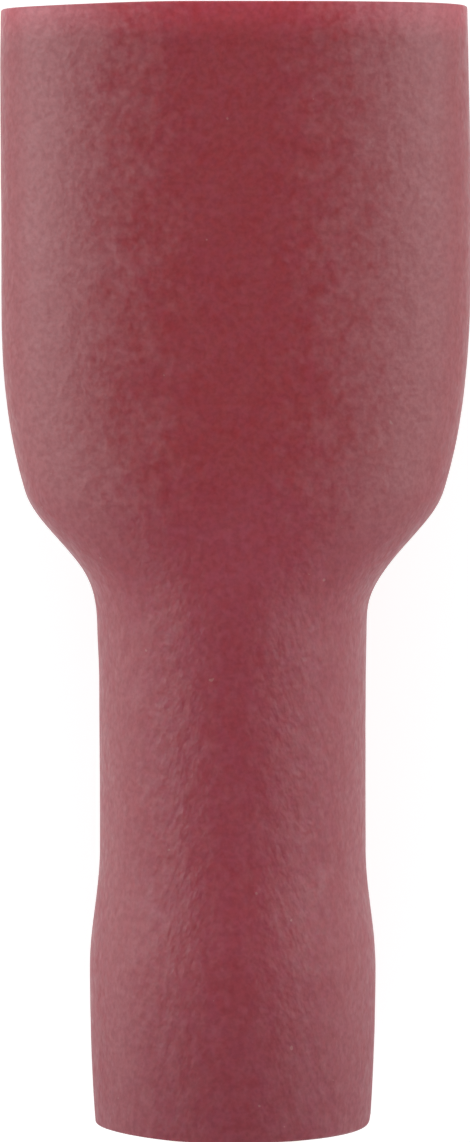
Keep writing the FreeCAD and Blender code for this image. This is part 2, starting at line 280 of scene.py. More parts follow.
def squared(half_width, half_height, squareness):
    """Rounded outline across the axis, as a function of the turn from the top."""
    def point(turn):
        across, upward = math.sin(turn), math.cos(turn)
        reach = (abs(across) ** squareness + abs(upward) ** squareness) ** (-1 / squareness)
        return half_width * across * reach, half_height * upward * reach
    return point


def boxed(half_width, half_height, corner):
    """Rectangle with rounded corners across the axis, as a function of the turn from the top."""
    corner_x, corner_z = half_width - corner, half_height - corner

    def point(turn):
        x, z = half_width * math.sin(turn), half_height * math.cos(turn)
        scale = min(half_width / max(abs(x), 1e-12), half_height / max(abs(z), 1e-12))
        if abs(x) * scale > corner_x and abs(z) * scale > corner_z:
            a = x * x + z * z
            b = -2 * (abs(x) * corner_x + abs(z) * corner_z)
            c = corner_x * corner_x + corner_z * corner_z - corner * corner
            scale = (-b + math.sqrt(max(b * b - 4 * a * c, 0.0))) / (2 * a)
        return x * scale, z * scale
    return point


def mouth_side(s, depth):
    """Half width of the mouth, which is widest at its crown and draws in to both ends."""
    if depth < s.crown_depth:
        run = (s.crown_depth - depth) / s.crown_depth
        return sleeve_high.x - s.rim_draw_in * run * run
    run = (depth - s.crown_depth) / (s.shoulder_start - s.crown_depth)
    return sleeve_high.x - s.shoulder_draw_in * min(run, SIDE_RUNS) ** SIDE_POWER


def round_radius(s, f, depth):
    """Outside radius of the sleeve behind its shoulder: the neck, the swell and the tail."""
    swell_radius = (sleeve_high.z - sleeve_low.z) / 2
    foot = BARREL_END - s.swell_lead
    crest = BARREL_END + f.step_length + s.swell_lead
    if depth > crest:
        run = (depth - crest) / (LENGTH - crest)
        return swell_radius - (swell_radius - s.tail_radius) * run * run
    if depth > foot:
        return between(s.neck_radius, swell_radius, ease((depth - foot) / (crest - foot)))
    run = (depth - s.shoulder_start - s.shoulder_length) / s.taper_run
    return s.neck_radius + s.neck_taper * (1 - ease(run + TAPER_LEAD))


def sleeve_outside(s, f, depth):
    """Outline of the sleeve's outside at a depth, before its ends are rounded off."""
    half_height = (receptacle_high.z - receptacle_low.z) / 2 + s.chamber_top_gap + s.mouth_wall
    share = ease((depth - s.shoulder_start) / s.shoulder_length)
    radius = round_radius(s, f, depth)
    return squared(between(mouth_side(s, depth), radius, share),
                   between(half_height, radius, share),
                   between(s.mouth_squareness, 2.0, share))


def drifted(s, depth):
    """Sideways wander of the moulding: the mouth leans one way and the neck the other."""
    depth /= MM
    for (d0, v0), (d1, v1) in zip(DRIFT, DRIFT[1:]):
        if depth <= d1:
            return s.mould_drift * between(v0, v1, ease((depth - d0) / (d1 - d0)))
    return s.mould_drift * DRIFT[-1][1]


def askew(cut, x, along):
    """Share of a cut's fall at a point this far along the sleeve from that end."""
    return ease((-x / MM - cut.start) / cut.spread) * (1 - ease(along / (cut.fade * MM)))


def peel(s, x, y, z):
    """Soft unevenness of the moulded skin."""
    place = Vector((x, y, z)) / MM
    return s.peel_height * sum(share * noise.noise(place * pace + Vector(shift))
                               for pace, share, shift in PEEL_WAVES)


class SleeveRings:
    """Mesh rings of the sleeve, each from an outline at a depth."""

    def __init__(self, s):
        self.s = s
        self.turns = [2 * math.pi * k / s.points_round for k in range(s.points_round)]
        self.rings = []

    def add(self, depth, outline, outside=False, corner=None, inset=0.0, run=0.0):
        """A ring. A corner gives its radius at each turn, and inset and run are shares of it."""
        s = self.s
        ring = []
        for turn in self.turns:
            x, z = outline(turn)
            reach = math.hypot(x, z)
            radius = corner(turn) if corner else 0.0
            move = -inset * radius
            if outside:
                move += peel(s, x, -depth, z)
            x += x / reach * move
            z += z / reach * move
            fall = s.trim_fall * askew(RIM_CUT, x, depth)
            fall -= s.tail_fall * askew(TAIL_CUT, x, LENGTH - depth)
            y = RIM_Y - depth - run * radius - fall
            ring.append((x + drifted(s, depth), y, AXIS_Z + z))
        self.rings.append(ring)


def add_sleeve_outside(rings, s, f):
    """From the rim's outer edge to the tail's."""
    def rim_corner(turn):
        return s.rim_edge

    def tail_corner(turn):
        """The trimmed tail is sharp at one side and rubbed round at the other."""
        return between(s.tail_edge, s.tail_round, (0.5 + 0.5 * math.sin(turn)) ** 2)

    rim = sleeve_outside(s, f, 0.0)
    for run, inset in quarter_round(RIM_STEPS):
        rings.add(0.0, rim, outside=True, corner=rim_corner, inset=inset, run=run)
    for depth in evenly(s.rim_edge, LENGTH - s.tail_round, s.ring_spacing)[1:-1]:
        rings.add(depth, sleeve_outside(s, f, depth), outside=True)
    tail = sleeve_outside(s, f, LENGTH)
    for run, inset in reversed(quarter_round(EDGE_STEPS)):
        rings.add(LENGTH, tail, outside=True, corner=tail_corner, inset=inset, run=-run)


def add_sleeve_hollow(rings, s, r, f):
    """From the wire's end back to the mouth."""
    def chamber_corner(turn):
        return -s.rim_radius

    box_end = BOX_FRONT + r.box_length
    front_radius = r.barrel_bore / 2 + r.strip + f.wall
    grip_radius = ferrule_high.x
    break_in = s.tail_lip / 3
    for depth, radius in ((LENGTH, grip_radius + s.tail_lip + break_in),
                          (LENGTH - break_in, grip_radius + s.tail_lip),
                          (LENGTH - s.tail_flare, grip_radius - s.tail_lip),
                          (FERRULE_END, grip_radius - s.tail_lip),
                          (FERRULE_END, grip_radius),
                          (BARREL_END + f.step_length, grip_radius),
                          (BARREL_END, front_radius),
                          (FERRULE_START - s.throat_step, front_radius)):
        rings.add(depth, squared(radius, radius, 2.0))

    half_width = receptacle_high.x + s.chamber_gap
    half_height = (receptacle_high.z - receptacle_low.z) / 2 + s.chamber_top_gap
    throat = front_radius + s.throat_step
    for depth in reversed(evenly(box_end, FERRULE_START, THROAT_SPACING)):
        share = ease((depth - box_end) / (FERRULE_START - box_end))
        rings.add(depth, squared(between(half_width - s.throat_step, throat, share),
                                 between(half_height - s.throat_step, throat, share),
                                 between(s.throat_squareness, 2.0, share)))
    chamber = boxed(half_width, half_height, s.chamber_corner)
    for depth in reversed(evenly(s.rim_radius, box_end, CHAMBER_SPACING)[1:]):
        rings.add(depth, chamber)
    for run, inset in reversed(quarter_round(EDGE_STEPS)):
        rings.add(0.0, chamber, corner=chamber_corner, inset=inset, run=-run)


def sleeve_skin(s, r, f):
    rings = SleeveRings(s)
    add_sleeve_outside(rings, s, f)
    add_sleeve_hollow(rings, s, r, f)
    return closed_skin(rings.rings)


# Receptacle

# Mesh spacing across the strip, then along it
FLOOR_SPACING = 0.09 * MM
CORNER_SPACING = 0.14 * MM
WALL_SPACING = 0.2 * MM
BOX_SPACING = 0.09 * MM
BARREL_SPACING = 0.05 * MM
FLOOR_BEND_STEPS = 10
SHOULDER_BEND_STEPS = 16
TIP_BEND_STEPS = 8
# Behind the box the strip is nearly flat, in radians of wrap. Above 1, the powers hold back its
# narrowing and its curl at first.
FLAT_WRAP = 0.02
NARROWING = 1.5
CURL = 1.1


class StripLine:
    """Middle line of a bent strip across the axis, walked as straight runs and bends."""

    def __init__(self, x, z, heading):
        self.x, self.z, self.heading = x, z, heading
        self.stations = [(x, z, heading)]

    def run(self, distance, spacing):
        x, z = self.x, self.z
        for along in evenly(0.0, distance, spacing)[1:]:
            self.x = x + along * math.cos(self.heading)
            self.z = z + along * math.sin(self.heading)
            self.stations.append((self.x, self.z, self.heading))

    def bend(self, radius, turn, steps=1):
        centre_x = self.x - radius * math.sin(self.heading)
        centre_z = self.z + radius * math.cos(self.heading)
        start = self.heading
        for k in range(1, steps + 1):
            self.heading = start + turn * k / steps
            self.x = centre_x + radius * math.sin(self.heading)
            self.z = centre_z - radius * math.cos(self.heading)
            self.stations.append((self.x, self.z, self.heading))


def roll_runs(r, half_width, half_height, floor_top):
    """Straight runs before and after the tip's bend, which bring the cut edge to the roll gap's
    side with the bend just above the tab."""
    half = r.strip / 2
    probe = StripLine(half_width - half, half_height - half - r.roll_shoulder, math.pi / 2)
    probe.bend(r.roll_shoulder, r.roll_shoulder_turn)
    top_way = probe.heading
    probe.bend(r.roll_tip, r.roll_tip_turn)
    tip_way = probe.heading
    missing_x = r.roll_gap / 2 + half - probe.x
    missing_z = floor_top + r.tab - r.squeeze + half * abs(math.cos(tip_way)) - probe.z
    spread = math.sin(tip_way - top_way)
    top = (missing_x * math.sin(tip_way) - missing_z * math.cos(tip_way)) / spread
    tip = (missing_z * math.cos(top_way) - missing_x * math.sin(top_way)) / spread
    return top, tip


def box_line(r):
    """The box's section from the left roll's edge to the right one's, and the first and the last
    of its stations that go on into the neck."""
    half = r.strip / 2
    half_width = receptacle_high.x
    half_height = (receptacle_high.z - receptacle_low.z) / 2
    neck_half = r.neck_floor / 2
    flat = half_width - half - r.floor_corner
    wall = 2 * half_height - r.strip - r.floor_corner - r.roll_shoulder
    top, tip = roll_runs(r, half_width, half_height, -half_height + r.strip)

    line = StripLine(0.0, -half_height + half, 0.0)
    line.run(neck_half - r.edge, FLOOR_SPACING)
    line.run(r.edge, r.edge)
    neck_count = len(line.stations) - 1
    line.run(flat - neck_half, CORNER_SPACING)
    line.bend(r.floor_corner, math.pi / 2, FLOOR_BEND_STEPS)
    line.run(wall, WALL_SPACING)
    line.bend(r.roll_shoulder, r.roll_shoulder_turn, SHOULDER_BEND_STEPS)
    line.run(top, WALL_SPACING)
    line.bend(r.roll_tip, r.roll_tip_turn, TIP_BEND_STEPS)
    line.run(tip - r.edge, WALL_SPACING)
    line.run(r.edge, r.edge)
    left = [(-x, z, -heading) for x, z, heading in reversed(line.stations[1:])]
    return left + line.stations, len(left) - neck_count, len(left) + neck_count


def strip_sides(stations, half, edge, shrink=0.0):
    """Inner and outer points of the strip, with its two cut edges bevelled."""
    inner, outer = [], []
    last = len(stations) - 1
    for k, (x, z, heading) in enumerate(stations):
        reach = half - shrink - (edge if k in (0, last) and not shrink else 0.0)
        step = shrink if k == 0 else -shrink if k == last else 0.0
        x, z = x + step * math.cos(heading), z + step * math.sin(heading)
        inner.append((x - reach * math.sin(heading), z + reach * math.cos(heading)))
        outer.append((x + reach * math.sin(heading), z - reach * math.cos(heading)))
    return inner, outer


def trough(half_length, wrap, lowest, count, edge):
    """Stations of the strip bent into a trough that wraps this far up each side."""
    radius = half_length / wrap
    inside = 1 - edge / half_length
    shares = (-1.0, *[between(-inside, inside, k / (count - 3)) for k in range(count - 2)], 1.0)
    return [(radius * math.sin(wrap * u), lowest + radius - radius * math.cos(wrap * u), wrap * u)
            for u in shares]


def pressed(r, x, z, depth, inside):
    """Height of a point of the box after the locking bump and the flared way in are pressed."""
    half = r.strip / 2
    floor_top = receptacle_low.z - AXIS_Z + r.strip
    tab_top = floor_top + r.tab - r.squeeze
    flat = receptacle_high.x - half - r.floor_corner
    on_floor = z < floor_top + half
    away = math.hypot(x, depth - r.bump_depth) / r.bump_radius
    if away < 1 and on_floor:
        z += r.bump_rise * (1 - away * away) ** 2
    flare = r.lead_in_rise * max(1 - (depth - BOX_FRONT) / r.lead_in, 0.0)
    if inside and flare > 0 and abs(x) < flat:
        z = min(z, floor_top - flare) if on_floor else max(z, tab_top + flare)
    return z


def bore_growth(r, depth, barrel_start):
    """How far the grooves and the chamfer widen the barrel's bore at a depth."""
    deepen = 0.0
    for k in range(r.grooves):
        centre = between(barrel_start, BARREL_END, (k + 1) / (r.grooves + 1))
        deepen = max(deepen, 1 - abs(depth - centre) / (r.groove_width / 2))
    chamfer = max(depth - (BARREL_END - r.barrel_chamfer), 0.0)
    return r.groove_depth * deepen + chamfer


def barrel_sides(r, depth, box_end, count):
    """Inner and outer points of the strip as it curls from the box's floor into the barrel."""
    half = r.strip / 2
    barrel_middle = r.barrel_bore / 2 + half
    full_wrap = math.pi - r.seam_gap / r.barrel_bore
    share = min((depth - box_end) / r.neck_length, 1.0)
    half_length = between(r.neck_floor / 2, barrel_middle * full_wrap, share ** NARROWING)
    half_length -= r.neck_waist * math.sin(math.pi * share)
    wrap = between(FLAT_WRAP, full_wrap, ease(share ** CURL))
    lowest = between(receptacle_low.z - AXIS_Z + half, -barrel_middle, ease(share))
    inner, outer = strip_sides(trough(half_length, wrap, lowest, count, r.edge), half, r.edge)
    growth = bore_growth(r, depth, box_end + r.neck_length)
    widened = []
    for x, z in inner:
        scale = 1 + growth / math.hypot(x, z)
        widened.append((x * scale, z * scale))
    return widened, outer


class StripSkin:
    """Skin of the strip. A row is the points' numbers on the inner side and on the outer side."""

    def __init__(self):
        self.points, self.faces, self.row = [], [], None

    def add_row(self, sides, depth):
        """Adds a row and joins it to the last one, with the two cut edges."""
        a, b = self.row, []
        for side in sides:
            start = len(self.points)
            self.points += [(x, RIM_Y - depth, AXIS_Z + z) for x, z in side]
            b.append(range(start, start + len(side)))
        self.row = b
        if not a:
            return
        for a_side, b_side, flip in zip(a, b, (False, True)):
            for k in range(len(a_side) - 1):
                quad = (a_side[k], a_side[k + 1], b_side[k + 1], b_side[k])
                self.faces.append(quad[::-1] if flip else quad)
        self.faces.append((a[1][0], a[0][0], b[0][0], b[1][0]))
        self.faces.append((a[0][-1], a[1][-1], b[1][-1], b[0][-1]))

    def cap(self, spans, flip=False):
        inner, outer = self.row
        for k in spans:
            quad = (inner[k], outer[k], outer[k + 1], inner[k + 1])
            self.faces.append(quad[::-1] if flip else quad)


def receptacle_skin(r):
    half = r.strip / 2
    box_end = BOX_FRONT + r.box_length
    barrel_start = box_end + r.neck_length
    stations, first, last = box_line(r)
    skin = StripSkin()

    def add_box_row(sides, depth):
        skin.add_row([[(x, pressed(r, x, z, depth, inside)) for x, z in side]
                      for inside, side in zip((True, False), sides)], depth)

    whole = strip_sides(stations, half, r.edge)
    add_box_row(strip_sides(stations, half, r.edge, shrink=r.edge), BOX_FRONT)
    skin.cap(range(len(stations) - 1), flip=True)
    for depth in evenly(BOX_FRONT + r.edge, box_end, BOX_SPACING):
        add_box_row(whole, depth)

    # The neck goes on from the middle of the floor, and the rest of the box ends here
    skin.cap([*range(first), *range(last, len(stations) - 1)])
    skin.row = [side[first:last + 1] for side in skin.row]
    count = last - first + 1
    for depth in (evenly(box_end, barrel_start, BOX_SPACING)[1:]
                  + evenly(barrel_start, BARREL_END, BARREL_SPACING)[1:]):
        skin.add_row(barrel_sides(r, depth, box_end, count), depth)
    skin.cap(range(count - 1))
    return skin.points, skin.faces


# Ferrule

FERRULE_POINTS = 144
FERRULE_SPACING = 0.6 * MM
FERRULE_EDGE_STEPS = 4
# Where the cone's rings stand, as shares of its run
CONE_SHARES = (0.0, 0.15, 0.35, 0.65, 0.85, 1.0)


def ferrule_skin(f, r):
    """Turned skin of the stepped tube: out along its outside and back through its bore."""
    start, end = FERRULE_START, FERRULE_END
    step_end = BARREL_END + f.step_length
    inner_front = r.barrel_bore / 2 + r.strip
    outer_front = inner_front + f.wall
    outer = ferrule_high.x
    inner = outer - f.wall

    def cone(shares, front, rear):
        return [(between(BARREL_END, step_end, share), between(front, rear, ease(share)))
                for share in shares]

    profile = [(start, inner_front), (start, outer_front - f.edge)]
    profile += [(depth, outer_front)
                for depth in evenly(start + f.edge, BARREL_END, FERRULE_SPACING)]
    profile += cone(CONE_SHARES[1:], outer_front, outer)
    edge = quarter_round(FERRULE_EDGE_STEPS)
    profile += [(end - f.edge * inset, outer - f.edge * run) for run, inset in edge]
    profile += [(end - f.edge * run, inner + f.edge * inset) for run, inset in edge]
    profile += cone(reversed(CONE_SHARES), inner_front, inner)

    turns = [2 * math.pi * k / FERRULE_POINTS for k in range(FERRULE_POINTS)]
    return closed_skin([[(radius * math.sin(t), RIM_Y - depth, AXIS_Z + radius * math.cos(t))
                         for t in turns] for depth, radius in profile])


# Shader nodes

class Sheet:
    """Adds nodes to a material's, a world's or a group's tree and links them."""

    def __init__(self, tree):
        self.tree = tree

    def feed(self, node, inputs):
        """Sets a node's inputs, or links them where the value is another node's socket."""
        for key, value in inputs.items():
            if isinstance(value, bpy.types.NodeSocket):
                self.tree.links.new(value, node.inputs[key])
            else:
                node.inputs[key].default_value = value

    def add(self, kind, inputs=None, **settings):
        node = self.tree.nodes.new(kind)
        for key, value in settings.items():
            setattr(node, key, value)
        self.feed(node, inputs or {})
        return node

    def maths(self, operation, a, b=0.0):
        return self.add("ShaderNodeMath", {0: a, 1: b}, operation=operation).outputs[0]

    def product(self, first, *others):
        for value in others:
            first = self.maths("MULTIPLY", first, value)
        return first

    def total(self, first, *others):
        for value in others:
            first = self.maths("ADD", first, value)
        return first

    def blend(self, share, a, b):
        return self.total(self.product(a, self.maths("SUBTRACT", 1.0, share)),
                          self.product(b, share))

    def moved(self, vector, shift):
        return self.add("ShaderNodeVectorMath", {0: vector, 1: shift},
                        operation="ADD").outputs["Vector"]

    def times(self, vector, factors):
        return self.add("ShaderNodeVectorMath", {0: vector, 1: factors},
                        operation="MULTIPLY").outputs["Vector"]

    def noise(self, vector, scale, detail=2.0, roughness=0.5):
        node = self.add("ShaderNodeTexNoise", {"Vector": vector, "Scale": scale, "Detail": detail,
                                               "Roughness": roughness})
        return node.outputs["Fac"]

    def span(self, value, low, high, to_low=0.0, to_high=1.0):
        """Goes softly from one level to the other as the value goes from low to high."""
        node = self.add("ShaderNodeMapRange", {"Value": value, "From Min": low, "From Max": high,
                                               "To Min": to_low, "To Max": to_high},
                        interpolation_type="SMOOTHSTEP")
        return node.outputs["Result"]

    def mix(self, share, a, b):
        """Mixes two colours, whose sockets are at 6 and 7 on this node."""
        ends = {key: value if isinstance(value, bpy.types.NodeSocket) else (*value, 1.0)
                for key, value in ((6, a), (7, b))}
        return self.add("ShaderNodeMix", {0: share, **ends}, data_type="RGBA").outputs[2]

    def millimetres(self):
        """The piece's own coordinates in millimetres."""
        place = self.add("ShaderNodeTexCoord").outputs["Object"]
        return self.times(place, (1 / MM, 1 / MM, 1 / MM))

    def apart(self, vector):
        return self.add("ShaderNodeSeparateXYZ", {0: vector}).outputs

    def relief(self, *heights):
        """The skin's direction where it is raised by these heights in millimetres."""
        return self.add("ShaderNodeBump", {"Strength": 1.0, "Distance": MM,
                                           "Height": self.total(*heights)}).outputs[0]


def effect(sheet, name, vector, values, fill):
    """Mask and height of a node group over these places, with these float inputs. The group is
    made on its first use."""
    tree = bpy.data.node_groups.get(name)
    if not tree:
        tree = bpy.data.node_groups.new(name, "ShaderNodeTree")
        tree.interface.new_socket("Vector", in_out="INPUT", socket_type="NodeSocketVector")
        for key, value in values.items():
            socket = tree.interface.new_socket(key, in_out="INPUT", socket_type="NodeSocketFloat")
            socket.default_value = value
        for key in ("Mask", "Height"):
            tree.interface.new_socket(key, in_out="OUTPUT", socket_type="NodeSocketFloat")
        inner = Sheet(tree)
        given = inner.add("NodeGroupInput").outputs
        height = fill(inner, given)
        inner.add("NodeGroupOutput", {"Mask": inner.span(height, given["Low"], given["High"]),
                                      "Height": height})
    return sheet.add("ShaderNodeGroup", {"Vector": vector, **values}, node_tree=tree).outputs


def soft_mottle(sheet, vector, scale, break_up, low=0.35, high=0.65):
    """Cloudy patches broken up by finer ones, as on a satin skin or a tarnished metal."""
    def fill(inner, given):
        broad = inner.noise(given["Vector"], given["Scale"], 3.0, 0.55)
        fine = inner.noise(given["Vector"], inner.product(given["Scale"], 3.3))
        return inner.blend(inner.product(given["Break-up"], 0.5), broad, fine)

    return effect(sheet, "Soft mottle", vector, {"Scale": scale, "Break-up": break_up, "Low": low,
                                                 "High": high}, fill)


def drawn_streaks(sheet, vector, across, along, blend, low, high, slant=0.0):
    """Strokes along Y that lean by the slant, one way on each side, and blend over the middle.
    Across and along are how many there are in a millimetre."""
    def fill(inner, given):
        stretch = inner.add("ShaderNodeCombineXYZ", {"X": given["Across"], "Y": given["Along"],
                                                     "Z": given["Across"]}).outputs[0]
        sides = []
        for side in (1.0, -1.0):
            angle = inner.product(given["Slant"], side)
            turned = inner.add("ShaderNodeVectorRotate", {"Vector": given["Vector"],
                                                          "Angle": angle}, rotation_type="Z_AXIS")
            place = inner.moved(inner.times(turned.outputs[0], stretch), (17.0 * side, 5.0, 0.0))
            sides.append(inner.noise(place, 1.0))
        share = inner.span(inner.apart(given["Vector"])["X"],
                           inner.product(given["Blend"], -1.0), given["Blend"])
        return inner.blend(share, *sides)

    return effect(sheet, "Drawn streaks", vector, {"Slant": slant, "Across": across, "Along": along,
                                                   "Blend": blend, "Low": low, "High": high}, fill)


def empty_sheet(holder):
    """A sheet for the nodes of a new material or world."""
    holder.use_nodes = True
    holder.node_tree.nodes.clear()
    return Sheet(holder.node_tree)


def shaded(name, sockets=None):
    """A material whose surface has these plain values, and the sheet to go on from."""
    material = bpy.data.materials.new(name)
    sheet = empty_sheet(material)
    surface = sheet.add("ShaderNodeBsdfPrincipled", sockets)
    sheet.add("ShaderNodeOutputMaterial", {"Surface": surface.outputs[0]})
    return material, sheet, surface


# Vinyl

# Each of these goes with sheet.span: from, to, and the two levels if they aren't 0 and 1. Places
# along and across are in millimetres, and "aside" is a share of the half width.
HALF_WIDTH_ALONG = (-1.3, 3.0, 2.6, 4.49)
NECK_ALONG = (2.2, -2.5)
# Painted sheen: the next three place the side lamps' highlight, painted pale over the mouth's sides
# and weaker to the right
PAINTED_SHEEN_ASIDE = (0.16, 0.84)
PAINTED_SHEEN_ALONG = (-0.5, 2.0, 0.0, 0.85)
PAINTED_SHEEN_ACROSS = (2.8, 4.3, 1.0, 0.7)
STROKES_ASIDE = (0.1, 0.6, 0.16, 0.24)
UPWARD_ASIDE = (0.6, 1.0, 1.0, 0.25)
# Painted sheen: these two place the lamps' highlight painted along the neck's edges, stronger at
# the left
PAINTED_EDGE_SHEEN_ASIDE = (0.5, 0.95)
PAINTED_EDGE_SHEEN_ACROSS = (-1.0, 1.0, 0.58, 0.4)
LAST_ASIDE = (0.84, 1.0, 1.0, 0.52)
PLUM_ALONG = (2.4, 0.8, 0.0, 0.38)
# Painted glow next to the rim
RIM_PAINTED_GLOW_ALONG = (RIM_Y / MM - 0.8, RIM_Y / MM - 0.1)
# Painted shade towards the tail's end
TAIL_PAINTED_SHADE_ALONG = (-6.5, -RIM_Y / MM)
GRAIN_RANGE = (0.25, 0.75)
SPECK_RANGE = (0.872, 0.89)
MOTTLE_ROUGHNESS = (0.3, 0.7, 0.38, 0.54)
# How much of the mottle moves the border of the painted sheen, and how strongly patches, tints and
# specks show
PAINTED_SHEEN_CLOUD = 0.95
PATCH_SHARE = 0.42
SPECK_SHARE = 0.2
TAIL_ROUGHNESS = 0.12
# Factors on the colour: a painted glow next to the rim, a painted shade at the tail, and both ends
# of the grain
RIM_PAINTED_GLOW = (1.40, 1.30, 1.38)
TAIL_PAINTED_SHADE = (0.84, 0.80, 0.84)
GRAIN_DARK = (0.90, 0.82, 0.84)
GRAIN_LIGHT = (1.10, 1.18, 1.16)


def vinyl_fields(sheet):
    """Places on the sleeve, and the uneven fields that its colour and its relief share."""
    place = sheet.millimetres()
    x, y = sheet.apart(place)[:2]
    tall = sheet.times(place, (1.0, 0.86, 1.0))
    aside = sheet.maths("DIVIDE", sheet.maths("ABSOLUTE", x), sheet.span(y, *HALF_WIDTH_ALONG))
    return SimpleNamespace(
        place=place, x=x, y=y, tall=tall, aside=aside,
        upward=sheet.span(aside, *UPWARD_ASIDE),
        neck=sheet.span(y, *NECK_ALONG),
        # Share towards the tail's end for the painted shade there, and for the tail's roughness
        tail=sheet.span(y, *TAIL_PAINTED_SHADE_ALONG),
        grain=sheet.noise(place, 8.5, 2.0, 0.6),
        mottle=soft_mottle(sheet, tall, scale=1.9, break_up=1.05),
        streaks=drawn_streaks(sheet, place, slant=math.radians(25), across=5.0, along=2.2,
                              blend=1.3, low=0.42, high=0.68))


def painted_sheen_and_strokes(sheet, fields):
    """Share of the pale colour, mostly painted sheen: the side lamps' highlight is painted in
    clouds over the mouth's sides and towards the edges on the neck, and the neck's short drawn
    strokes add pale marks of the vinyl."""
    # Painted sheen over the mouth's sides, its border moved by the mottle
    cloud = sheet.product(sheet.maths("SUBTRACT", fields.mottle["Height"], 0.5), PAINTED_SHEEN_CLOUD)
    painted_sheen = sheet.product(sheet.span(sheet.total(fields.aside, cloud), *PAINTED_SHEEN_ASIDE),
                         sheet.span(fields.y, *PAINTED_SHEEN_ALONG), sheet.span(fields.x, *PAINTED_SHEEN_ACROSS))
    # Painted sheen towards the neck's edges, added to the drawn strokes, which are pale marks of
    # the vinyl
    level = sheet.product(sheet.maths("SUBTRACT", 1.0, fields.upward), 0.5)
    strokes = sheet.total(sheet.product(fields.streaks["Mask"], fields.upward), level)
    strokes = sheet.product(strokes, fields.neck, sheet.span(fields.aside, *STROKES_ASIDE))
    # Painted sheen along the neck's edges, stronger at the left
    edges = sheet.product(sheet.span(fields.aside, *PAINTED_EDGE_SHEEN_ASIDE), fields.neck,
                          sheet.span(fields.x, *PAINTED_EDGE_SHEEN_ACROSS))
    paling = sheet.maths("MAXIMUM", painted_sheen, sheet.total(strokes, edges))
    return sheet.product(paling, sheet.span(fields.aside, *LAST_ASIDE))


def vinyl_colour(sheet, fields, c):
    patches = soft_mottle(sheet, sheet.moved(fields.tall, (31.0, 4.0, 9.0)), scale=2.0,
                          break_up=1.0, low=0.42, high=0.64)
    tints = soft_mottle(sheet, sheet.moved(fields.tall, (3.0, 24.0, 1.0)), scale=1.6,
                        break_up=1.2, low=0.40, high=0.62)
    plum = sheet.total(sheet.product(tints["Mask"], PATCH_SHARE),
                       sheet.span(fields.y, *PLUM_ALONG))
    tone = sheet.mix(sheet.product(patches["Mask"], PATCH_SHARE), c.vinyl, c.vinyl_deep)
    tone = sheet.mix(plum, tone, c.vinyl_plum)
    # Painted sheen of the side lamps, with the drawn strokes
    tone = sheet.mix(painted_sheen_and_strokes(sheet, fields), tone, c.vinyl_painted_sheen_and_strokes)
    # Painted light: next to the rim the colour is lightened as a painted glow of light through the
    # thin wall
    tone = sheet.mix(sheet.span(fields.y, *RIM_PAINTED_GLOW_ALONG), tone, sheet.times(tone, RIM_PAINTED_GLOW))
    # Painted shade: the colour darkens towards the tail's end
    tone = sheet.mix(fields.tail, tone, sheet.times(tone, TAIL_PAINTED_SHADE))
    tone = sheet.mix(sheet.span(fields.grain, *GRAIN_RANGE), sheet.times(tone, GRAIN_DARK),
                     sheet.times(tone, GRAIN_LIGHT))
    specks = sheet.span(sheet.noise(sheet.moved(fields.place, (5.0, 55.0, 2.0)), 7.5, 0.0),
                        *SPECK_RANGE)
    return sheet.mix(sheet.product(specks, SPECK_SHARE), tone, c.vinyl_speck)


def vinyl_finish(c):
    material, sheet, surface = shaded("Red vinyl", {
        "IOR": 1.5, "Specular IOR Level": 0.45, "Subsurface Weight": 0.2,
        "Subsurface Radius": (1.0, 0.25, 0.25), "Subsurface Scale": 0.35 * MM,
    })
    surface.subsurface_method = "RANDOM_WALK"
    fields = vinyl_fields(sheet)
    rough = sheet.total(sheet.span(fields.mottle["Height"], *MOTTLE_ROUGHNESS),
                        sheet.product(fields.tail, TAIL_ROUGHNESS))
    relief = sheet.relief(
        sheet.product(sheet.noise(fields.tall, 3.4, 2.0, 0.55), c.peel_relief / MM),
        sheet.product(fields.grain, c.grain_relief / MM),
        sheet.product(fields.streaks["Height"], fields.neck, fields.upward, c.streak_relief / MM))
    sheet.feed(surface, {"Base Color": vinyl_colour(sheet, fields, c), "Roughness": rough,
                         "Normal": relief})
    return material


# Metals

# The dull film is no longer quite metal, and these are how much of it and of the lines shows
CLOUD_METALLIC = (0.0, 1.0, 0.88, 0.78)
CLOUD_SHARE = 0.7
LINE_SHARE = 0.18


def metal_finish(name, c, bright, dull, rubbed, wear, rough_low, rough_high):
    """Plated or drawn metal with faint lines along it, cloudy dulling and rubbed spots."""
    material, sheet, surface = shaded(name)
    place = sheet.millimetres()
    clouds = soft_mottle(sheet, place, scale=0.8, break_up=0.7, low=0.42, high=0.72)
    lines = drawn_streaks(sheet, place, across=14.0, along=0.5, blend=0.5, low=0.4, high=0.7)
    spots = soft_mottle(sheet, sheet.moved(place, (7.0, 3.0, 1.0)), scale=2.4, break_up=0.8,
                        low=0.62, high=0.72)
    tint = sheet.mix(sheet.product(clouds["Mask"], CLOUD_SHARE), bright, dull)
    tint = sheet.mix(sheet.product(lines["Mask"], LINE_SHARE), tint, dull)
    tint = sheet.mix(sheet.product(spots["Mask"], wear), tint, rubbed)
    sheet.feed(surface, {
        "Base Color": tint,
        "Roughness": sheet.span(clouds["Height"], 0.35, 0.65, rough_low, rough_high),
        "Metallic": sheet.span(clouds["Mask"], *CLOUD_METALLIC),
        "Normal": sheet.relief(sheet.product(lines["Height"], c.line_relief / MM),
                               sheet.product(sheet.noise(place, 7.0, 3.0), c.pit_relief / MM)),
    })
    return material


# Stage

# The sky's level falls from the first to the second between these heights on its ball
SKY_HEIGHTS = (0.45, 0.97, 1.0, 0.12)


def background_share(sheet):
    """1 for the rays that show the background itself, and 0 for those that it lights."""
    path = sheet.add("ShaderNodeLightPath").outputs
    seen = sheet.maths("MAXIMUM", path["Is Camera Ray"], path["Is Glossy Ray"])
    return sheet.maths("MAXIMUM", seen, path["Is Transmission Ray"])


